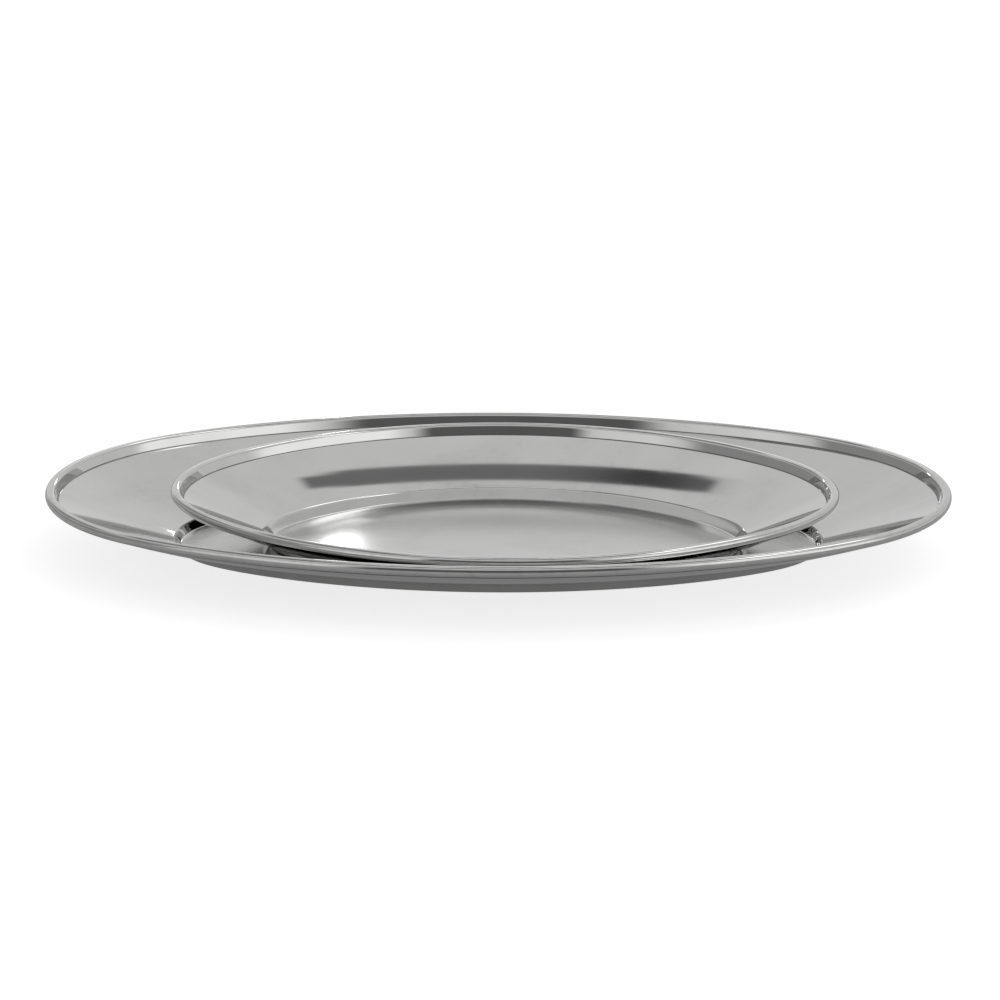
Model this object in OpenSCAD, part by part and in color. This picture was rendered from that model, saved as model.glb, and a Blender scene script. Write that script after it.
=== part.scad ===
// Nested pair of oval serving platters in polished sheet steel. Each is one pressed sheet with a
// sunken well, a sloping flange and a rolled rim. The small platter stands in the well of the large
// one and lifts straight out. Millimetres, +Z up, long axis on X, origin under the large foot.

/* [Sheet] */
// Thickness of the steel sheet
sheet_t = 0.7; // [0.5:0.05:1]
// Slope of both wells' walls above level, in degrees
wall_slope = 55; // [48:1:64]
// Radius under the bend where a flange turns down into its well
crease_r = 1.2; // [0.6:0.1:1.8]

/* [Rolled rim] */
// Outside diameter of the rolled edge
roll_d = 4.6; // [3.6:0.1:5.6]
// Height of the rim's top above the outer edge of the flange
rim_rise = 5.3; // [4:0.1:7]
// Slope of the rim's inner face above level, in degrees
rim_slope = 75; // [66:1:90]
// Radius inside the bend from the flange up into the rim
rim_bend_r = 1; // [0.5:0.1:1.6]
// Angle through which the edge is rolled over, in degrees
roll_turn = 285; // [200:5:300]

/* [Large platter] */
// Length over the rim
large_length = 400; // [360:1:460]
// Width over the rim
large_width = 260; // [236:1:300]
// Radius of the rounded ends in plan
large_end_r = 105; // [90:1:116]
// Width of the flange in plan, from the rim's edge to the well's edge
large_flange = 56; // [48:0.5:60]
// Slope of the flange above level, in degrees
large_slope = 20.8; // [16:0.1:24]
// Drop of the wall from the flange to the floor of the well
large_drop = 3.5; // [3:0.1:6]
// Radius of the cove between wall and floor
large_cove_r = 1; // [0.5:0.5:4]

/* [Small platter] */
// Length over the rim
small_length = 296; // [280:1:330]
// Radius of the rounded ends in plan
small_end_r = 82; // [70:1:98]
// Width of the flange in plan, from the rim's edge to the well's edge
small_flange = 40.5; // [34:0.5:46]
// Slope of the flange above level, in degrees
small_slope = 25.1; // [22:0.1:32]
// Radius of the cove between wall and floor
small_cove_r = 1; // [0.5:0.5:4]

/* [Nesting] */
// Room under the small foot where it stands on the large floor
seat_gap = 0.1; // [0:0.05:0.5]
// Room between the two wells' walls along each long side
nest_gap = 0.8; // [0.5:0.1:3]
// Height of the small well's edge over the large one's, less the sheet and the seat
edge_step = 1; // [0.8:0.1:4]
// How far the small platter stands along X from the middle
small_shift = 2.8; // [-5:0.1:5]
// How far the small platter is turned about Z, in degrees
small_turn = -1.6; // [-2.5:0.1:2.5]

/* [Hidden] */
$fn = 128;
small_drop = large_drop + edge_step;
// Half width of the large well where its wall's line meets its floor
large_well = large_width / 2 - large_flange - large_drop / tan(wall_slope);
// Distance in plan from the small rim's edge to the line where its wall's underside meets its foot
small_inset = small_flange + small_drop / tan(wall_slope) - sheet_t * tan(wall_slope / 2);
small_width = 2 * (large_well - nest_gap + small_inset);
// Largest turn between two points along a bend, in degrees
bend_step = 15;
// Degrees and millimetres by which a quarter's arcs run past the planes it is cut at
spare = 2;

// Rounded to a thousandth, so that arcs drawn from one plane meet face to face
function thousandth(x) = round(1000 * x) / 1000;

// Unit step in a direction, in degrees
function step(angle) = [cos(angle), sin(angle)];

// Length that a bend of this radius and angle takes from each of the straight runs it joins
function bend_reach(r, angle) = r * tan(angle / 2);

// Radius of the long sides of an oval whose end arcs run smoothly into its side arcs
function side_radius(length, width, end_r) = thousandth(
    (pow(length / 2 - end_r, 2) + pow(width / 2, 2) - pow(end_r, 2)) / (width - 2 * end_r));

// Points along a bent sheet, at a height over its lower face. Each stretch is a straight run, the turn
// that follows it, upwards if positive, and the radius inside that turn.
function along(stretches, lift, at, heading = 0, i = 0) = i == len(stretches) ? [] : let(
    turn = stretches[i][1],
    side = sign(turn),
    r = stretches[i][2] + (side > 0 ? sheet_t : 0),
    middle = at + stretches[i][0] * step(heading) + side * r * step(heading + 90),
    steps = ceil(abs(turn) / bend_step),
    bend = [for (k = [0 : steps]) middle - side * (r - side * lift) * step(heading + turn * k / steps + 90)],
    after = middle - side * r * step(heading + turn + 90)
) concat(bend, along(stretches, lift, after, heading + turn, i + 1));

// Section of the sheet from the rim's edge at X 0 inwards: rolled rim, flange, crease, wall, cove and floor
module section(reach, flange, slope, drop, cove_r) {
    cove = bend_reach(cove_r, wall_slope);
    crease = bend_reach(crease_r + sheet_t, wall_slope - slope);
    rim_bend = bend_reach(rim_bend_r, rim_slope - slope);
    // How far the middle of the roll stands above and out from the corner of flange and rim
    roll_up = rim_rise - roll_d / 2;
    roll_out = (roll_d / 2 + roll_up * cos(rim_slope)) / sin(rim_slope);
    floor_run = reach - flange - drop / tan(wall_slope) - cove;
    wall_run = drop / sin(wall_slope) - cove - crease;
    flange_run = (flange - roll_d / 2 - roll_out) / cos(slope) - crease - rim_bend;
    rim_run = roll_out * cos(rim_slope) + roll_up * sin(rim_slope) - rim_bend;
    stretches = [
        [floor_run, wall_slope, cove_r],
        [wall_run, slope - wall_slope, crease_r],
        [flange_run, rim_slope - slope, rim_bend_r],
        [rim_run, -roll_turn, roll_d / 2 - sheet_t],
    ];
    foot = [-reach, 0];
    under = along(stretches, 0, foot);
    over = along(stretches, sheet_t, foot);
    last = len(over) - 1;
    polygon(concat([foot], under, [for (i = [last : -1 : 0]) over[i]], [foot + [0, sheet_t]]));
}

// Quarter of a platter. Its end arc and its side arc start from one plane through both their middles.
module quarter(length, width, end_r, flange, slope, drop, cove_r) {
    side_r = side_radius(length, width, end_r);
    join = atan2(side_r - width / 2, length / 2 - end_r);
    end_turn = ceil(join) + spare;
    side_turn = ceil(90 - join) + spare;
    side_reach = ceil(width / 2) + spare;
    intersection() {
        translate([length / 2 - end_r, 0]) rotate(join) {
            rotate_extrude(start = -end_turn, angle = end_turn)
                translate([end_r, 0]) section(end_r, flange, slope, drop, cove_r);
            translate([end_r - side_r, 0]) rotate_extrude(start = 0, angle = side_turn)
                translate([side_r, 0]) section(side_reach, flange, slope, drop, cove_r);
        }
        translate([0, 0, -length]) cube([length, length, 2 * length]);
    }
}

// One platter, standing on its foot at the origin
module platter(length, width, end_r, flange, slope, drop, cove_r) {
    for (x = [0, 1], y = [0, 1])
        mirror([x, 0, 0]) mirror([0, y, 0]) quarter(length, width, end_r, flange, slope, drop, cove_r);
}

module large_platter() {
    color("silver")
        platter(large_length, large_width, large_end_r, large_flange, large_slope, large_drop, large_cove_r);
}

module small_platter() {
    color("lightgray")
        translate([small_shift, 0, sheet_t + seat_gap]) rotate(small_turn)
        platter(small_length, small_width, small_end_r, small_flange, small_slope, small_drop, small_cove_r);
}

large_platter();
small_platter();
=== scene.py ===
"""Nested pair of oval serving platters in polished sheet steel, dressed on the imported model."""

import logging
import math
from dataclasses import dataclass, field
from enum import Enum
from typing import Sequence

import bpy
import numpy as np
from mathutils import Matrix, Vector


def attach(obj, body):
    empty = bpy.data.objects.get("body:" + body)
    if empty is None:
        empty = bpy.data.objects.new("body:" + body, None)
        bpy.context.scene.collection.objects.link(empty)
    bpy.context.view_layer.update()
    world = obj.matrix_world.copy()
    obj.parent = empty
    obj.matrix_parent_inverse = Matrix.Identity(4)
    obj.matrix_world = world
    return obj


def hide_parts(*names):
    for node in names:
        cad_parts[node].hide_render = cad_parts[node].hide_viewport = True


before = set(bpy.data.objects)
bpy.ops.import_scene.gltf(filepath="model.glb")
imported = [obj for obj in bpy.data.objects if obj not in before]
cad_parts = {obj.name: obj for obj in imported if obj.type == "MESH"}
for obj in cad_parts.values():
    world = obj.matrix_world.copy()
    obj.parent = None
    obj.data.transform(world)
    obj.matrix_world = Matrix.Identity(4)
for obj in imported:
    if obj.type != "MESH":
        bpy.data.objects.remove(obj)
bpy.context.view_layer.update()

LOG = logging.getLogger("platters")
MM = 0.001
# Points of the swept sheet nearer than this are one point, in metres
MERGE_DISTANCE = 0.00002
# Fewest pieces that a bend is cut into, and the largest turn of one piece, in degrees
BEND_PIECES = 4
BEND_TURN = 7.5
# Share of a bowed run at which it is also cut near each end, so that its shading stops there
END_CUT = 0.004
# Steps in which an oval's plan is worked out, a multiple of 4
PLAN_STEPS = 7200
# Room left inside the floor's swept rings, to the middles of the ends and to the long axis, in millimetres
END_ROOM = 6.0
SIDE_ROOM = 12.0
# Shares of the steel's tint that are left where it is hazy, and in the corner under a rim where shade is
# painted into the colour
HAZY_SHARE = 0.86
CORNER_SHADE_SHARE = 0.22
# Facing at which a studio patch has sunk by its curl, in degrees
CURL_FACING = 30.0

Colour = tuple[float, float, float]
Socket = bpy.types.NodeSocket


class Side(Enum):
    """Which way a bend turns the sheet, as the sign of its turn."""

    UP = 1
    DOWN = -1


@dataclass(frozen=True)
class Bend:
    """A straight run of sheet and the bend that follows it.

    Attributes:
        run: length of the straight run, in millimetres.
        turn: angle of the bend, in degrees.
        radius: radius of the upper face in the bend, in millimetres.
        side: which way the sheet turns.
        cuts: number of pieces that the run is cut into.
        bow: how far the run sags below its straight line, in millimetres.
        wear_and_shade: how much its bend is rubbed, from 0 to 1, or below 0 for a painted shade, a dark
            line painted into the colour of the corner in the bend.
    """

    run: float
    turn: float
    radius: float
    side: Side
    cuts: int = 1
    bow: float = 0.0
    wear_and_shade: float = 0.0


@dataclass(frozen=True)
class Steel:
    """Finish of one polished platter.

    Attributes:
        name: the material's name.
        tint: colour of the bare steel, linear.
        roughness: roughness of the clean polish.
        haze: roughness that handling adds at most.
        satin: roughness that the floor of the well has over the rest.
        lines: depth of the polishing lines, in millimetres.
        dents: depth of the sheet's slow waves, in millimetres.
        seed: where in the noise this platter's marks lie.
    """

    name: str
    tint: Colour
    roughness: float
    haze: float
    satin: float
    lines: float
    dents: float
    seed: float

    def shade(self, share: float) -> tuple[float, float, float, float]:
        """A share of the tint, as a colour with alpha."""
        return (*(share * channel for channel in self.tint), 1.0)


class NodeTree:
    """Small helper that places nodes in a tree and links them by name."""

    def __init__(self, tree: bpy.types.NodeTree) -> None:
        """Keep the tree to add to."""
        self.tree = tree

    def add(self, kind: str, values: dict | None = None, **settings: object) -> bpy.types.Node:
        """Place a node.

        Args:
            kind: the node's type name.
            values: values or output sockets for its inputs, by name or index.
            settings: properties of the node.

        Returns:
            The new node.
        """
        node = self.tree.nodes.new(kind)
        for key, value in settings.items():
            setattr(node, key, value)
        for key, value in (values or {}).items():
            if isinstance(value, Socket):
                self.tree.links.new(value, node.inputs[key])
            else:
                node.inputs[key].default_value = value
        return node

    def math(self, operation: str, *terms: float | Socket) -> Socket:
        """Place a Math node.

        Args:
            operation: the node's operation.
            terms: its inputs, as values or output sockets.

        Returns:
            The node's output socket.
        """
        node = self.add("ShaderNodeMath", dict(enumerate(terms)), operation=operation)
        return node.outputs[0]


def shader_group(
    name: str, values: dict[str, float], output: str, vectors: Sequence[str] = ()
) -> tuple[bpy.types.NodeTree, NodeTree, bpy.types.Node, bpy.types.Node]:
    """Make an empty shader node group with one value output.

    Args:
        name: the group's name.
        values: default of each value input, by name.
        output: the output's name.
        vectors: names of the vector inputs.

    Returns:
        The group, its helper, its input node and its output node.
    """
    group = bpy.data.node_groups.new(name, "ShaderNodeTree")
    for label in vectors:
        group.interface.new_socket(label, in_out="INPUT", socket_type="NodeSocketVector")
    for label, value in values.items():
        socket = group.interface.new_socket(label, in_out="INPUT", socket_type="NodeSocketFloat")
        socket.default_value = value
    group.interface.new_socket(output, in_out="OUTPUT", socket_type="NodeSocketFloat")
    nodes = NodeTree(group)
    return group, nodes, nodes.add("NodeGroupInput"), nodes.add("NodeGroupOutput")


def polish_group() -> bpy.types.NodeTree:
    """Group for the fine lines that polishing leaves along the sheet.

    Returns:
        The group, with a height from 0 to 1.
    """
    group, nodes, given, out = shader_group(
        "polishing_lines", {"Across": 0.0, "Seed": 0.0}, "Height", vectors=["Place"])
    along_scale, across_scale = 16.0, 2400.0
    split = nodes.add("ShaderNodeSeparateXYZ", {0: given.outputs["Place"]})
    flow = nodes.add("ShaderNodeCombineXYZ", {
        0: nodes.math("MULTIPLY", split.outputs[0], along_scale),
        1: nodes.math("MULTIPLY", split.outputs[1], along_scale),
        2: nodes.math("MULTIPLY_ADD", given.outputs["Across"], across_scale, given.outputs["Seed"]),
    })
    noise = nodes.add("ShaderNodeTexNoise", {"Vector": flow.outputs[0], "Scale": 1.0, "Detail": 3.0})
    group.links.new(noise.outputs[0], out.inputs["Height"])
    return group


def wave_group() -> bpy.types.NodeTree:
    """Group for the slow waves that pressing leaves in a thin sheet.

    Returns:
        The group, with a height from 0 to 1.
    """
    group, nodes, given, out = shader_group(
        "pressed_waves", {"Scale": 13.0, "Seed": 0.0}, "Height", vectors=["Place"])
    noise = nodes.add("ShaderNodeTexNoise", {
        "Vector": given.outputs["Place"],
        "W": given.outputs["Seed"],
        "Scale": given.outputs["Scale"],
        "Detail": 1.0,
    }, noise_dimensions="4D")
    group.links.new(noise.outputs[0], out.inputs["Height"])
    return group


def haze_group() -> bpy.types.NodeTree:
    """Group for the patches that hands and cloths leave on a polished sheet.

    Returns:
        The group, with a mask from 0 to 1.
    """
    group, nodes, given, out = shader_group(
        "handling_haze", {"Seed": 0.0, "Wear And Shade": 0.0}, "Mask", vectors=["Place"])
    spot = {"Vector": given.outputs["Place"], "W": given.outputs["Seed"]}
    broad = nodes.add(
        "ShaderNodeTexNoise", {**spot, "Scale": 26.0, "Detail": 4.0, "Distortion": 0.6},
        noise_dimensions="4D")
    fine = nodes.add(
        "ShaderNodeTexNoise", {**spot, "Scale": 240.0, "Detail": 3.0}, noise_dimensions="4D")
    patches = nodes.add("ShaderNodeMapRange", {
        "Value": broad.outputs[0], "From Min": 0.46, "From Max": 0.74})
    specks = nodes.add("ShaderNodeMapRange", {
        "Value": fine.outputs[0], "From Min": 0.52, "From Max": 0.8})
    rubbed = nodes.math("MAXIMUM", given.outputs["Wear And Shade"], 0.0)
    worn = nodes.math("MULTIPLY", rubbed, nodes.math("ADD", 0.35, specks.outputs[0]))
    mask = nodes.math("MULTIPLY", patches.outputs[0], nodes.math("ADD", 0.6, specks.outputs[0]))
    total = nodes.add("ShaderNodeClamp", {0: nodes.math("ADD", mask, worn)})
    group.links.new(total.outputs[0], out.inputs["Mask"])
    return group


def satin_group() -> bpy.types.NodeTree:
    """Group for the floor of a well, which is left satin inside its polished wall.

    Returns:
        The group, with a mask from 0 to 1.
    """
    group, nodes, given, out = shader_group(
        "satin_floor", {"Across": 0.0, "Edge": 0.03}, "Mask")
    past = nodes.math("SUBTRACT", given.outputs["Across"], given.outputs["Edge"])
    mask = nodes.add("ShaderNodeMapRange", {
        "Value": past, "From Min": -0.6 * MM, "From Max": 0.4 * MM, "To Min": 1.0, "To Max": 0.0})
    group.links.new(mask.outputs[0], out.inputs["Mask"])
    return group


def corner_shade_group() -> bpy.types.NodeTree:
    """Group for the painted shade, a dark line painted into the colour in the corner under a rim.

    Returns:
        The group, with a mask from 0 to 1.
    """
    group, nodes, given, out = shader_group(
        "painted_corner_shade", {"Wear And Shade": 0.0}, "Mask", vectors=["Place"])
    uneven = nodes.add("ShaderNodeTexNoise", {
        "Vector": given.outputs["Place"], "Scale": 60.0, "Detail": 2.0})
    share = nodes.math("MULTIPLY_ADD", uneven.outputs[0], 0.7, 0.65)
    held = nodes.math("MULTIPLY", nodes.math("MULTIPLY", given.outputs["Wear And Shade"], -1.0), share)
    mask = nodes.add("ShaderNodeClamp", {0: held})
    group.links.new(mask.outputs[0], out.inputs["Mask"])
    return group


@dataclass
class SteelShop:
    """Makes the platters' materials from shared node groups."""

    polish: bpy.types.NodeTree = field(default_factory=polish_group)
    waves: bpy.types.NodeTree = field(default_factory=wave_group)
    haze: bpy.types.NodeTree = field(default_factory=haze_group)
    satin: bpy.types.NodeTree = field(default_factory=satin_group)
    corner: bpy.types.NodeTree = field(default_factory=corner_shade_group)

    def material(self, steel: Steel, floor_edge: float) -> bpy.types.Material:
        """Build the material of one finish.

        Args:
            steel: the finish.
            floor_edge: where the floor ends, as the sheet's "across" attribute counts it, in metres.

        Returns:
            A procedural material of polished steel.
        """
        material = bpy.data.materials.new(steel.name)
        material.use_nodes = True
        nodes = NodeTree(material.node_tree)
        shader = material.node_tree.nodes["Principled BSDF"]
        shader.inputs["Metallic"].default_value = 1.0
        place = nodes.add("ShaderNodeTexCoord").outputs["Object"]
        across = nodes.add("ShaderNodeAttribute", attribute_name="across").outputs["Fac"]
        wear_and_shade = nodes.add("ShaderNodeAttribute", attribute_name="wear_and_shade").outputs["Fac"]

        lines = nodes.add("ShaderNodeGroup", node_tree=self.polish)
        waves = nodes.add("ShaderNodeGroup", node_tree=self.waves)
        marks = nodes.add("ShaderNodeGroup", node_tree=self.haze)
        for group in (lines, waves, marks):
            material.node_tree.links.new(place, group.inputs["Place"])
            group.inputs["Seed"].default_value = steel.seed
        material.node_tree.links.new(across, lines.inputs["Across"])
        material.node_tree.links.new(wear_and_shade, marks.inputs["Wear And Shade"])

        mask = marks.outputs["Mask"]
        colour = nodes.add(
            "ShaderNodeMix", {0: mask, 6: steel.shade(1.0), 7: steel.shade(HAZY_SHARE)}, data_type="RGBA")
        # Painted shade: in the bend under the rim the colour is darkened to a small share of the tint, a
        # dark line painted in.
        corner = nodes.add("ShaderNodeGroup", {"Place": place, "Wear And Shade": wear_and_shade}, node_tree=self.corner)
        shaded = nodes.add("ShaderNodeMix", {
            0: corner.outputs["Mask"],
            6: colour.outputs[2],
            7: steel.shade(CORNER_SHADE_SHARE),
        }, data_type="RGBA")
        floor = nodes.add(
            "ShaderNodeGroup", {"Across": across, "Edge": floor_edge}, node_tree=self.satin)
        rough = nodes.math(
            "MULTIPLY_ADD", floor.outputs["Mask"], steel.satin,
            nodes.math("MULTIPLY_ADD", mask, steel.haze, steel.roughness),
        )
        height = nodes.math(
            "ADD",
            nodes.math("MULTIPLY", lines.outputs["Height"], steel.lines * MM),
            nodes.math("MULTIPLY", waves.outputs["Height"], steel.dents * MM),
        )
        bump = nodes.add("ShaderNodeBump", {"Height": height, "Strength": 1.0, "Distance": 1.0})
        material.node_tree.links.new(shaded.outputs[2], shader.inputs["Base Color"])
        material.node_tree.links.new(rough, shader.inputs["Roughness"])
        material.node_tree.links.new(bump.outputs[0], shader.inputs["Normal"])
        return material


def sweep_tree() -> bpy.types.NodeTree:
    """Geometry Nodes tree that sweeps a section round an oval path and closes the floor inside it.

    Returns:
        The tree, with inputs for the section, the floor's middle height and the material.
    """
    tree = bpy.data.node_groups.new("swept_sheet", "GeometryNodeTree")
    face = tree.interface
    face.new_socket("Geometry", in_out="INPUT", socket_type="NodeSocketGeometry")
    face.new_socket("Section", in_out="INPUT", socket_type="NodeSocketObject")
    face.new_socket("Floor Middle", in_out="INPUT", socket_type="NodeSocketFloat")
    face.new_socket("Material", in_out="INPUT", socket_type="NodeSocketMaterial")
    face.new_socket("Geometry", in_out="OUTPUT", socket_type="NodeSocketGeometry")
    nodes = NodeTree(tree)
    given = nodes.add("NodeGroupInput")
    path = nodes.add("GeometryNodeSetCurveNormal", {"Curve": given.outputs["Geometry"]}, mode="Z_UP")
    info = nodes.add("GeometryNodeObjectInfo", {"Object": given.outputs["Section"]})
    section = nodes.add("GeometryNodeMeshToCurve", {"Mesh": info.outputs["Geometry"]})
    skirt = nodes.add("GeometryNodeCurveToMesh", {
        "Curve": path.outputs[0], "Profile Curve": section.outputs[0]})

    inner = nodes.add("GeometryNodeInputNamedAttribute", {"Name": "inner"}, data_type="FLOAT")
    edge = nodes.add(
        "FunctionNodeCompare", {0: inner.outputs[0], 1: 0.99},
        data_type="FLOAT", operation="GREATER_THAN")
    loop = nodes.add("GeometryNodeMeshToCurve", {"Mesh": skirt.outputs[0], "Selection": edge.outputs[0]})
    disc = nodes.add("GeometryNodeFillCurve", {"Curve": loop.outputs[0]}, mode="NGONS")
    lift = nodes.add("ShaderNodeCombineXYZ", {2: given.outputs["Floor Middle"]})
    raised = nodes.add("GeometryNodeTransform", {
        "Geometry": disc.outputs[0], "Translation": lift.outputs[0]})
    joined = nodes.add("GeometryNodeJoinGeometry")
    tree.links.new(skirt.outputs[0], joined.inputs[0])
    tree.links.new(raised.outputs[0], joined.inputs[0])
    merged = nodes.add("GeometryNodeMergeByDistance", {
        "Geometry": joined.outputs[0], "Distance": MERGE_DISTANCE})
    smooth = nodes.add("GeometryNodeSetShadeSmooth", {"Geometry": merged.outputs[0]})
    real = nodes.add("GeometryNodeRealizeInstances", {"Geometry": smooth.outputs[0]})
    dressed = nodes.add(
        "GeometryNodeSetMaterial", {"Geometry": real.outputs[0], "Material": given.outputs["Material"]})
    out = nodes.add("NodeGroupOutput")
    tree.links.new(dressed.outputs[0], out.inputs[0])
    return tree


def set_inputs(modifier: bpy.types.NodesModifier, values: dict[str, object]) -> None:
    """Set a Geometry Nodes modifier's inputs by their sockets' identifiers.

    Args:
        modifier: the modifier.
        values: the inputs' values, by socket name.
    """
    for item in modifier.node_group.interface.items_tree:
        if item.item_type == "SOCKET" and item.in_out == "INPUT" and item.name in values:
            modifier[item.identifier] = values[item.name]


@dataclass
class Platter:
    """One platter pressed from a single sheet and rolled at its edge. Sizes are in millimetres.

    Attributes:
        name: the piece's name.
        node: the solid that the piece stands for.
        body: the body that it moves with.
        slot: the record's material slot, not used.
        length: length over the rim.
        width: width over the rim.
        end_radius: radius of the ends in plan.
        flange: width of the flange in plan, from the rim's edge to the well's edge.
        slope: slope of the flange, in degrees.
        drop: drop of the well's wall.
        cove: radius between wall and floor.
        steel: the finish.
        at: where the middle of its foot stands.
        turn: how far it is turned about Z, in degrees.
        bow: sag of the flange between rim and well.
        crown: rise of the floor towards its middle.
        sheet: thickness of the sheet.
        wall_slope: slope of the well's wall, in degrees.
        crease: radius under the bend from the flange down into the well.
        roll: outside diameter of the rolled edge.
        rim_rise: height of the rim's top above the corner of flange and rim.
        rim_slope: slope of the rim's inner face, in degrees.
        rim_bend: radius inside the bend from the flange up into the rim.
        roll_turn: angle through which the edge is rolled over, in degrees.
        blend: half the angle over which the plan's end arcs blend into its side arcs, in degrees.
        stations: number of points round the rim.
        floor_rings: number of rings of floor that are swept inside the cove.
    """

    name: str
    node: str
    body: str
    slot: str
    length: float
    width: float
    end_radius: float
    flange: float
    slope: float
    drop: float
    cove: float
    steel: Steel
    at: tuple[float, float, float] = (0.0, 0.0, 0.0)
    turn: float = 0.0
    bow: float = 0.5
    crown: float = 0.1
    sheet: float = 0.7
    wall_slope: float = 55.0
    crease: float = 1.2
    roll: float = 4.6
    rim_rise: float = 5.3
    rim_slope: float = 75.0
    rim_bend: float = 1.0
    roll_turn: float = 285.0
    blend: float = 16.0
    stations: int = 360
    floor_rings: int = 8

    def side_radius(self) -> float:
        """Radius of the long sides, which the ends run into smoothly."""
        half, width, end = self.length / 2, self.width / 2, self.end_radius
        return ((half - end) ** 2 + width**2 - end**2) / (2 * (width - end))

    def plan(self) -> np.ndarray:
        """Points round the rim in plan, with arcs that blend into each other.

        Returns:
            The points, in millimetres, evenly spaced and running anticlockwise.
        """
        half, width = self.length / 2, self.width / 2
        join = math.degrees(math.atan2(self.side_radius() - width, half - self.end_radius))
        angle = np.linspace(0, 360, PLAN_STEPS + 1)
        from_end = np.abs((angle + 90) % 180 - 90)
        share = np.clip((from_end - join) / (2 * self.blend) + 0.5, 0, 1)
        share = share * share * (3 - 2 * share)
        radius = self.end_radius + (self.side_radius() - self.end_radius) * share
        turn = np.radians(angle)
        quarter = slice(0, PLAN_STEPS // 4 + 1)
        hop = np.diff(turn[quarter])
        over_x, over_y = (radius * np.sin(turn))[quarter], (radius * np.cos(turn))[quarter]
        reach = np.sum(hop * (over_x[1:] + over_x[:-1]) / 2)
        span = np.sum(hop * (over_y[1:] + over_y[:-1]) / 2)
        gain = (half - width) / (reach - span)
        radius = half - gain * reach + gain * radius
        step = np.stack([-np.sin(turn), np.cos(turn)], 1) * radius[:, None]
        hop = (step[1:] + step[:-1]) / 2 * np.diff(turn)[:, None]
        points = np.vstack([[half, 0], [half, 0] + np.cumsum(hop, 0)])
        along = np.concatenate([[0], np.cumsum(np.linalg.norm(np.diff(points, axis=0), axis=1))])
        even = np.linspace(0, along[-1], self.stations + 1)[:-1]
        return np.stack([np.interp(even, along, points[:, k]) for k in (0, 1)], 1)

    def bends(self) -> list[Bend]:
        """Work out the sheet from the floor's edge to the end of the rolled rim.

        Returns:
            The runs and the bends that follow them, in order.
        """
        wall, slope, rim = map(math.radians, (self.wall_slope, self.slope, self.rim_slope))
        crease = self.crease + self.sheet
        cove_reach = self.cove * math.tan(wall / 2)
        crease_reach = crease * math.tan((wall - slope) / 2)
        rim_reach = self.rim_bend * math.tan((rim - slope) / 2)
        roll_up = self.rim_rise - self.roll / 2
        roll_out = (self.roll / 2 + roll_up * math.cos(rim)) / math.sin(rim)
        wall_run = self.drop / math.sin(wall) - cove_reach - crease_reach
        flange_plan = self.flange - self.roll / 2 - roll_out
        flange_run = flange_plan / math.cos(slope) - crease_reach - rim_reach
        rim_run = roll_out * math.cos(rim) + roll_up * math.sin(rim) - rim_reach
        return [
            Bend(0.0, self.wall_slope, self.cove, Side.UP),
            Bend(wall_run, self.wall_slope - self.slope, crease, Side.DOWN, cuts=2, wear_and_shade=0.5),
            # The bend up into the rim is not rubbed; a dark line of painted shade is put into its colour.
            Bend(flange_run, self.rim_slope - self.slope, self.rim_bend, Side.UP,
                 cuts=16, bow=self.bow, wear_and_shade=-1.0),
            Bend(rim_run, self.roll_turn, self.roll / 2, Side.DOWN, wear_and_shade=1.0),
        ]

    def inset(self) -> float:
        """Distance in plan from the rim's edge to the edge of the flat floor."""
        wall = math.radians(self.wall_slope)
        return self.flange + self.drop / math.tan(wall) + self.cove * math.tan(wall / 2)

    def floor_reach(self) -> float:
        """Width of the rings of floor that are swept inside the cove."""
        return min(self.end_radius - END_ROOM, self.width / 2 - SIDE_ROOM) - self.inset()

    def section(self) -> tuple[list[tuple[float, float]], list[float], list[float]]:
        """Upper face of the sheet in section, from inside the floor out to the rolled rim's end.

        Returns:
            Points outwards and up from the rim's edge at floor level, distances along them, and how rubbed
            each is, with painted corner shade below 0.
        """
        inset, depth = self.inset(), self.floor_reach()
        points, wear_and_shade = [], []
        for k in range(self.floor_rings):
            share = k / self.floor_rings
            rise = self.crown * math.cos(math.pi / 2 * share) ** 2
            points.append((-inset - depth * (1 - share), self.sheet + rise))
            wear_and_shade.append(0.0)
        at, heading = Vector((-inset, self.sheet)), 0.0
        for bend in self.bends():
            ahead = Vector((math.cos(heading), math.sin(heading)))
            up = Vector((-ahead.y, ahead.x))
            shares = [k / bend.cuts for k in range(1, bend.cuts)]
            if bend.bow:
                shares = [END_CUT, *shares, 1 - END_CUT]
            for share in shares:
                spot = at + ahead * bend.run * share - up * bend.bow * 4 * share * (1 - share)
                points.append(tuple(spot))
                wear_and_shade.append(0.0)
            at = at + ahead * bend.run
            sign = bend.side.value
            middle = at + up * sign * bend.radius
            steps = max(BEND_PIECES, math.ceil(bend.turn / BEND_TURN))
            for k in range(steps + 1):
                turned = heading + sign * math.radians(bend.turn) * k / steps
                side = Vector((-math.sin(turned), math.cos(turned)))
                points.append(tuple(middle - side * sign * bend.radius))
                wear_and_shade.append(bend.wear_and_shade * math.sin(math.pi * k / steps))
            heading += sign * math.radians(bend.turn)
            at = Vector(points[-1])
        along = [0.0]
        for before, after in zip(points, points[1:]):
            along.append(along[-1] + math.dist(before, after))
        return points, along, wear_and_shade

    def section_object(self) -> bpy.types.Object:
        """Make the section a chain of edges that carries its attributes.

        Returns:
            The chain's object, in metres.
        """
        points, along, wear_and_shade = self.section()
        mesh = bpy.data.meshes.new(self.name + "_section")
        spots = [(x * MM, -z * MM, 0) for x, z in points]
        mesh.from_pydata(spots, [(k, k + 1) for k in range(len(points) - 1)], [])
        columns = {
            "across": [a * MM for a in along],
            "wear_and_shade": wear_and_shade,
            "inner": [1.0] + [0.0] * (len(points) - 1),
        }
        for label, values in columns.items():
            mesh.attributes.new(label, "FLOAT", "POINT").data.foreach_set("value", values)
        chain = bpy.data.objects.new(self.name + "_section", mesh)
        bpy.context.scene.collection.objects.link(chain)
        return chain

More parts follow.
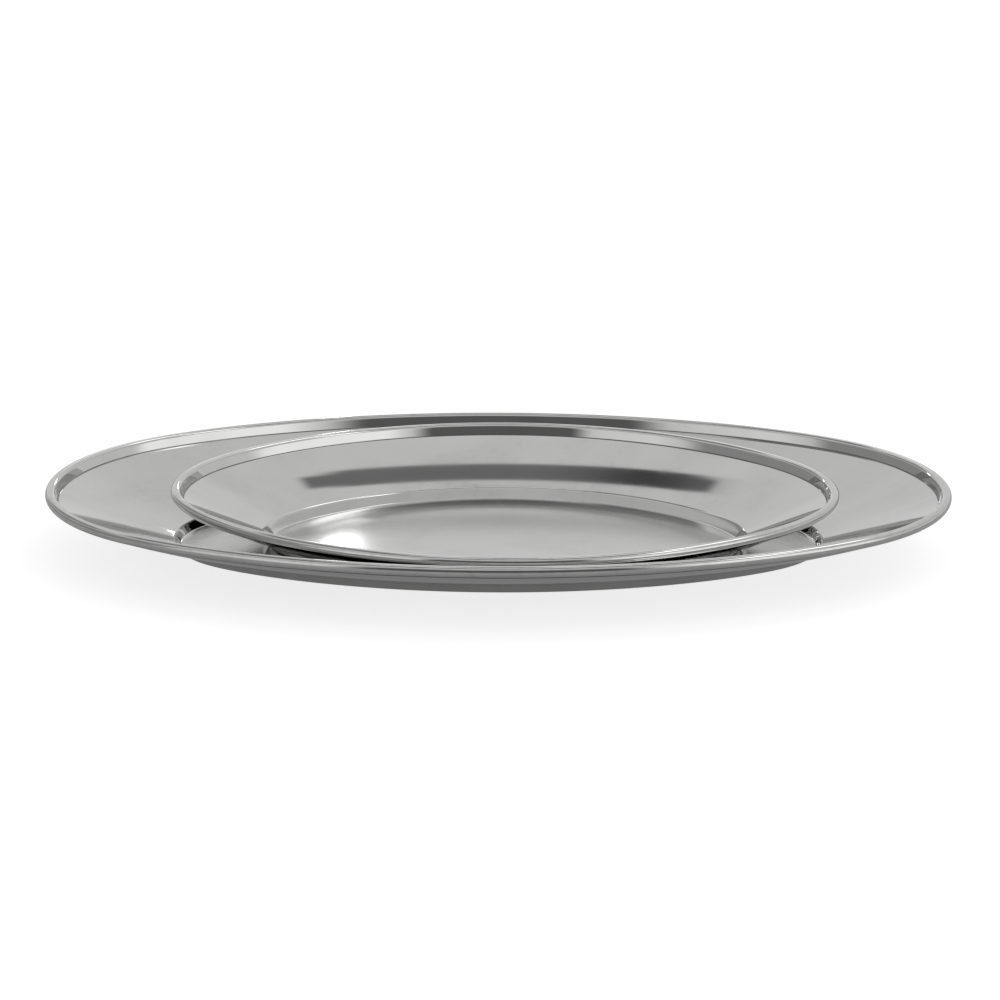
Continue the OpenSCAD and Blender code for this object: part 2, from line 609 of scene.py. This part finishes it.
    def path_object(self) -> bpy.types.Object:
        """Make the rim's plan a closed curve.

        Returns:
            The curve's object, in metres.
        """
        curve = bpy.data.curves.new(self.name + "_path", "CURVE")
        curve.dimensions = "3D"
        spline = curve.splines.new("POLY")
        plan = self.plan()
        spline.points.add(len(plan) - 1)
        for point, (x, y) in zip(spline.points, plan):
            point.co = (x * MM, y * MM, 0, 1)
        spline.use_cyclic_u = True
        path = bpy.data.objects.new(self.name + "_path", curve)
        bpy.context.scene.collection.objects.link(path)
        return path

    def build(self, tree: bpy.types.NodeTree, material: bpy.types.Material) -> bpy.types.Object:
        """Sweep the sheet, give it its thickness and put it where its solid stands.

        Args:
            tree: the Geometry Nodes tree that sweeps a section.
            material: the platter's material.

        Returns:
            The finished piece, at the origin with its place in its mesh.
        """
        path, chain = self.path_object(), self.section_object()
        modifier = path.modifiers.new("sheet", "NODES")
        modifier.node_group = tree
        set_inputs(modifier, {
            "Section": chain, "Floor Middle": (self.sheet + self.crown) * MM, "Material": material})
        skin = self.realised(path, self.name + "_skin")
        for helper in (path, chain):
            bpy.data.objects.remove(helper)
        self.face_upwards(skin.data)
        solid = skin.modifiers.new("thickness", "SOLIDIFY")
        solid.thickness = self.sheet * MM
        solid.offset = -1.0
        solid.use_even_offset = True
        piece = self.realised(skin, self.name)
        bpy.data.objects.remove(skin)
        self.place(piece.data)
        return piece

    def place(self, mesh: bpy.types.Mesh) -> None:
        """Turn and shift a mesh to where the platter's solid stands.

        Args:
            mesh: the mesh, which stands at the origin.
        """
        spin = math.radians(self.turn)
        cos, sin = math.cos(spin), math.sin(spin)
        spots = np.empty(len(mesh.vertices) * 3, np.float32)
        mesh.vertices.foreach_get("co", spots)
        turned = spots.reshape(-1, 3) @ np.array([[cos, sin, 0], [-sin, cos, 0], [0, 0, 1]], np.float32)
        mesh.vertices.foreach_set("co", (turned + np.array(self.at, np.float32) * MM).ravel())
        mesh.update()

    @staticmethod
    def realised(source: bpy.types.Object, name: str) -> bpy.types.Object:
        """Turn an object with modifiers into a plain mesh object.

        Args:
            source: the object to evaluate.
            name: the new object's name.

        Returns:
            The new object, with no modifier.
        """
        bpy.context.view_layer.update()
        graph = bpy.context.evaluated_depsgraph_get()
        mesh = bpy.data.meshes.new_from_object(source.evaluated_get(graph), depsgraph=graph)
        mesh.name = name
        made = bpy.data.objects.new(name, mesh)
        bpy.context.scene.collection.objects.link(made)
        return made

    @staticmethod
    def face_upwards(mesh: bpy.types.Mesh) -> None:
        """Turn a skin's faces so that its floor faces up.

        Args:
            mesh: the skin's mesh.
        """
        floor = max(mesh.polygons, key=lambda face: face.area)
        skirt = [face for face in mesh.polygons if face.index != floor.index]
        nearest = min(skirt, key=lambda face: (face.center.xy.length, face.index))
        if floor.normal.z < 0:
            floor.flip()
        if nearest.normal.z < 0:
            for face in skirt:
                face.flip()
        mesh.update()

    def dress(self, piece: bpy.types.Object) -> None:
        """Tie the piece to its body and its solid.

        Args:
            piece: the finished piece.
        """
        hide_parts(self.node)
        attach(piece, self.body)


class Aim(Enum):
    """What the two ranges of a studio patch count."""

    BEHIND = "azimuth from straight behind the platters, positive to the right, and height"
    VIEWER = "azimuth from the viewer's own place, positive to the right, and height"
    SHEET = "facing and slope of the sheet that shows the patch to the viewer"


@dataclass(frozen=True)
class Patch:
    """A soft-edged area of the studio round the platters, seen only as light and reflection.

    Attributes:
        value: its brightness.
        across: from and to, in degrees, of its azimuth or facing.
        up: from and to, in degrees, of its height or slope.
        soft: width of its soft edges across and up, in degrees.
        aim: what the ranges count.
        curl: how far the range upwards sinks to either side, in degrees.
    """

    value: float
    across: tuple[float, float]
    up: tuple[float, float]
    soft: tuple[float, float] = (6.0, 4.0)
    aim: Aim = Aim.BEHIND
    curl: float = 0.0


def patch_group() -> bpy.types.NodeTree:
    """Group for the mask of one soft-edged patch of the studio.

    Returns:
        The group, with a mask from 0 to 1.
    """
    names = ["Across", "Up", "Left", "Right", "Low", "High", "Soft Across", "Soft Up"]
    group, nodes, given, out = shader_group("studio_patch", dict.fromkeys(names, 0.0), "Mask")
    edges = []
    for value, low, high, soft in (
        ("Across", "Left", "Right", "Soft Across"),
        ("Up", "Low", "High", "Soft Up"),
    ):
        at, blur = given.outputs[value], given.outputs[soft]
        for term in (
            nodes.math("SUBTRACT", at, given.outputs[low]),
            nodes.math("SUBTRACT", given.outputs[high], at),
        ):
            ramp = nodes.math("ADD", nodes.math("DIVIDE", term, blur), 0.5)
            edges.append(nodes.add(
                "ShaderNodeMapRange", {"Value": ramp}, interpolation_type="SMOOTHSTEP").outputs[0])
    mask = nodes.math(
        "MULTIPLY", nodes.math("MULTIPLY", *edges[:2]), nodes.math("MULTIPLY", *edges[2:]))
    group.links.new(mask, out.inputs["Mask"])
    return group


@dataclass
class Studio:
    """Plain white studio: a pale floor, soft light all round and a camera at the photograph's angle.

    Attributes:
        fill: brightness of the plain light all round.
        stir: how far the light round the platters varies.
        lamp_at: where the small lamp behind the platters stands, in metres.
        lamp_aim: what it faces, in metres.
        lamp_size: its width and height, in metres.
        lamp_glow: its brightness.
        floor_colour: colour of the floor.
        floor_lift: light that the floor adds to what the camera sees of it.
        floor_gleam: light that the floor adds to what the steel shows of it.
        distance: from the camera to its target, in metres.
        elevation: of the camera, in degrees.
        azimuth: of the camera, in degrees.
        roll: of the camera, in degrees.
        target: what the camera looks at, in metres.
        focal: focal length in pixels of a picture 1000 pixels wide.
        patches: soft areas of the studio, later ones over earlier ones.
    """

    fill: float = 0.8
    stir: float = 0.16
    lamp_at: tuple[float, float, float] = (-0.0965, 0.444, 0.1275)
    lamp_aim: tuple[float, float, float] = (-0.072, 0.013, 0.0)
    lamp_size: tuple[float, float] = (0.018, 0.05)
    lamp_glow: float = 8.5
    floor_colour: float = 0.42
    floor_lift: float = 0.78
    floor_gleam: float = 0.16
    distance: float = 1.3
    elevation: float = 15.72
    azimuth: float = 0.0
    roll: float = 0.2
    target: tuple[float, float, float] = (0.0007, 0.0, 0.02055)
    focal: float = 2926.8
    patches: tuple[Patch, ...] = (
        Patch(1.4, (-5, 5), (23, 38), (3, 5)),
        Patch(1.35, (33, 84), (-4, 40), (12, 8), Aim.VIEWER),
        Patch(0.95, (-56, -28), (-4, 40), (10, 8), Aim.VIEWER),
        Patch(0.35, (-150, -64), (-4, 40), (10, 8), Aim.VIEWER),
        Patch(0.14, (-26, 26), (-10, 47), (8, 5), Aim.VIEWER),
        Patch(0.22, (-7, 7), (12, 21.8), (5, 0.8), Aim.SHEET),
        Patch(1.1, (-60, 60), (28, 35), (10, 1.5), Aim.SHEET),
        Patch(0.12, (-26, 26), (36.5, 43), (10, 1.5), Aim.SHEET),
        Patch(0.64, (-95, 95), (52, 60), (10, 2), Aim.SHEET),
        Patch(0.3, (-80, -30), (48, 72), (6, 5)),
        Patch(3.0, (42, 60), (50, 64), (6, 5)),
        Patch(2.8, (64, 86), (53, 62), (5, 3), Aim.VIEWER),
        Patch(0.21, (-36, 33.5), (22.9, 24.2), (3, 0.3), Aim.SHEET, 0.7),
        Patch(0.21, (-33, 28), (22.7, 24.5), (8, 0.25), Aim.SHEET, 0.7),
        Patch(0.05, (-32, -16), (22.7, 24.5), (24, 0.25), Aim.SHEET, 0.65),
    )

    def sight(self) -> Vector:
        """Direction in which the camera looks."""
        up, turn = math.radians(self.elevation), math.radians(self.azimuth)
        return Vector((-math.sin(turn) * math.cos(up), math.cos(turn) * math.cos(up), -math.sin(up)))

    def light(self) -> None:
        """Fill the world with soft light, seen as white by the camera and as a studio by the steel."""
        world = bpy.data.worlds.new("studio")
        bpy.context.scene.world = world
        world.use_nodes = True
        nodes = NodeTree(world.node_tree)
        sky = world.node_tree.nodes["Background"]
        way = nodes.add("ShaderNodeTexCoord").outputs["Generated"]
        cloud = nodes.add("ShaderNodeTexNoise", {"Vector": way, "Scale": 5.0, "Detail": 2.0}).outputs[0]
        varied = nodes.math("MULTIPLY_ADD", cloud, self.stir, 1 - self.stir / 2)
        stirred = nodes.math("MULTIPLY", self.level(nodes, way), varied)
        seen = nodes.add("ShaderNodeLightPath").outputs["Is Camera Ray"]
        shown = nodes.add("ShaderNodeMix", {0: seen, 2: stirred, 3: 1.0}, data_type="FLOAT")
        world.node_tree.links.new(shown.outputs[0], sky.inputs["Strength"])
        sky.inputs["Color"].default_value = (1, 1, 1, 1)

    def level(self, nodes: NodeTree, way: Socket) -> Socket:
        """Lay the patches over the plain light all round.

        Args:
            nodes: the world's node tree.
            way: the direction.

        Returns:
            The brightness in that direction.
        """
        aims = self.aims(nodes, way)
        group = patch_group()
        level = nodes.add("ShaderNodeValue").outputs[0]
        level.default_value = self.fill
        for patch in self.patches:
            across, up = aims[patch.aim]
            sink = patch.curl / CURL_FACING**2
            bent = nodes.math("MULTIPLY", nodes.math("MULTIPLY", across, across), sink)
            mask = nodes.add("ShaderNodeGroup", {
                "Across": across,
                "Up": nodes.math("ADD", up, bent),
                "Left": patch.across[0],
                "Right": patch.across[1],
                "Low": patch.up[0],
                "High": patch.up[1],
                "Soft Across": patch.soft[0],
                "Soft Up": patch.soft[1],
            }, node_tree=group)
            mix = nodes.add(
                "ShaderNodeMix", {0: mask.outputs[0], 2: level, 3: patch.value}, data_type="FLOAT")
            level = mix.outputs[0]
        return level

    def lamp(self) -> None:
        """Stand a small lamp behind the platters, which the small floor mirrors as a bright spot."""
        light = bpy.data.lights.new("back_lamp", "AREA")
        light.shape = "RECTANGLE"
        light.size, light.size_y = self.lamp_size
        light.energy = self.lamp_glow * math.pi * light.size * light.size_y
        lamp = bpy.data.objects.new("back_lamp", light)
        bpy.context.scene.collection.objects.link(lamp)
        lamp.location = self.lamp_at
        beam = Vector(self.lamp_aim) - lamp.location
        lamp.rotation_euler = beam.to_track_quat("-Z", "Y").to_euler()
        lamp.visible_camera = False

    def aims(self, nodes: NodeTree, way: Socket) -> dict[Aim, tuple[Socket, Socket]]:
        """Place the nodes that count a direction in each way that a patch may ask for.

        Args:
            nodes: the world's node tree.
            way: the direction.

        Returns:
            The two counts in degrees, across and up, for each aim.
        """
        def degrees(angle: Socket) -> Socket:
            """Turn an angle from radians to degrees."""
            return nodes.math("DEGREES", angle)

        x, y, z = nodes.add("ShaderNodeSeparateXYZ", {0: way}).outputs
        height = degrees(nodes.math("ARCSINE", z))
        back = nodes.math("MULTIPLY", y, -1.0)
        half = nodes.add("ShaderNodeVectorMath", {0: way, 1: self.sight()}, operation="SUBTRACT")
        normal = nodes.add("ShaderNodeVectorMath", {0: half.outputs[0]}, operation="NORMALIZE")
        across, along, rise = nodes.add("ShaderNodeSeparateXYZ", {0: normal.outputs[0]}).outputs
        facing = nodes.math("ARCTAN2", across, nodes.math("MULTIPLY", along, -1.0))
        return {
            Aim.BEHIND: (degrees(nodes.math("ARCTAN2", x, y)), height),
            Aim.VIEWER: (degrees(nodes.math("ARCTAN2", x, back)), height),
            Aim.SHEET: (degrees(facing), degrees(nodes.math("ARCCOSINE", rise))),
        }

    def floor(self) -> bpy.types.Object:
        """Lay the pale floor that the platters stand on.

        Returns:
            The floor's object.
        """
        mesh = bpy.data.meshes.new("floor")
        reach, low = 8.0, -0.0003
        corners = [(x * reach, y * reach, low) for x, y in ((-1, -1), (1, -1), (1, 1), (-1, 1))]
        mesh.from_pydata(corners, [], [(0, 1, 2, 3)])
        material = bpy.data.materials.new("pale_floor")
        material.use_nodes = True
        nodes = NodeTree(material.node_tree)
        shader = material.node_tree.nodes["Principled BSDF"]
        shader.inputs["Base Color"].default_value = (*[self.floor_colour] * 3, 1)
        shader.inputs["Roughness"].default_value = 0.9
        shader.inputs["Specular IOR Level"].default_value = 0.1
        rays = nodes.add("ShaderNodeLightPath")
        lift = nodes.math("MULTIPLY", rays.outputs["Is Camera Ray"], self.floor_lift)
        glow = nodes.math("MULTIPLY_ADD", rays.outputs["Is Glossy Ray"], self.floor_gleam, lift)
        shader.inputs["Emission Color"].default_value = (1, 1, 1, 1)
        material.node_tree.links.new(glow, shader.inputs["Emission Strength"])
        mesh.materials.append(material)
        floor = bpy.data.objects.new("floor", mesh)
        bpy.context.scene.collection.objects.link(floor)
        return floor

    def camera(self) -> bpy.types.Object:
        """Set the camera up at the photograph's angle.

        Returns:
            The camera's object.
        """
        data = bpy.data.cameras.new("camera")
        camera = bpy.data.objects.new("camera", data)
        bpy.context.scene.collection.objects.link(camera)
        data.sensor_width = 36.0
        data.lens = self.focal * 36.0 / 1000.0
        camera.location = Vector(self.target) - self.sight() * self.distance
        camera.rotation_euler = self.sight().to_track_quat("-Z", "Y").to_euler()
        camera.rotation_euler.rotate_axis("Z", math.radians(self.roll))
        bpy.context.scene.camera = camera
        bpy.context.scene.view_settings.view_transform = "Standard"
        return camera


LARGE_STEEL = Steel(
    "large_polished_steel", tint=(0.57, 0.57, 0.565), roughness=0.05, haze=0.05, satin=0.14,
    lines=0.00008, dents=0.03, seed=2.3,
)
SMALL_STEEL = Steel(
    "small_polished_steel", tint=(0.58, 0.58, 0.575), roughness=0.04, haze=0.04, satin=0.14,
    lines=0.00008, dents=0.03, seed=7.9,
)

PLATTERS = (
    Platter(
        "large_platter_sheet", "large_platter", "large", "large_steel",
        length=400.0, width=260.0, end_radius=105.0, flange=56.0, slope=20.8, drop=3.5, cove=1.0,
        steel=LARGE_STEEL, crown=0.04,
    ),
    Platter(
        "small_platter_sheet", "small_platter", "small", "small_steel",
        length=296.0, width=228.07, end_radius=82.0, flange=40.5, slope=25.1, drop=4.5, cove=1.0,
        steel=SMALL_STEEL, at=(2.8, 0.0, 0.8), turn=-1.6,
    ),
)


def main() -> None:
    """Build the studio and both platters."""
    logging.basicConfig(level=logging.INFO, format="%(name)s: %(message)s")
    studio = Studio()
    studio.light()
    studio.lamp()
    studio.floor()
    studio.camera()
    tree, shop = sweep_tree(), SteelShop()
    for platter in PLATTERS:
        steel = shop.material(platter.steel, platter.floor_reach() * MM)
        piece = platter.build(tree, steel)
        platter.dress(piece)
        LOG.info("%s: %d faces", piece.name, len(piece.data.polygons))


if __name__ == "__main__":
    main()
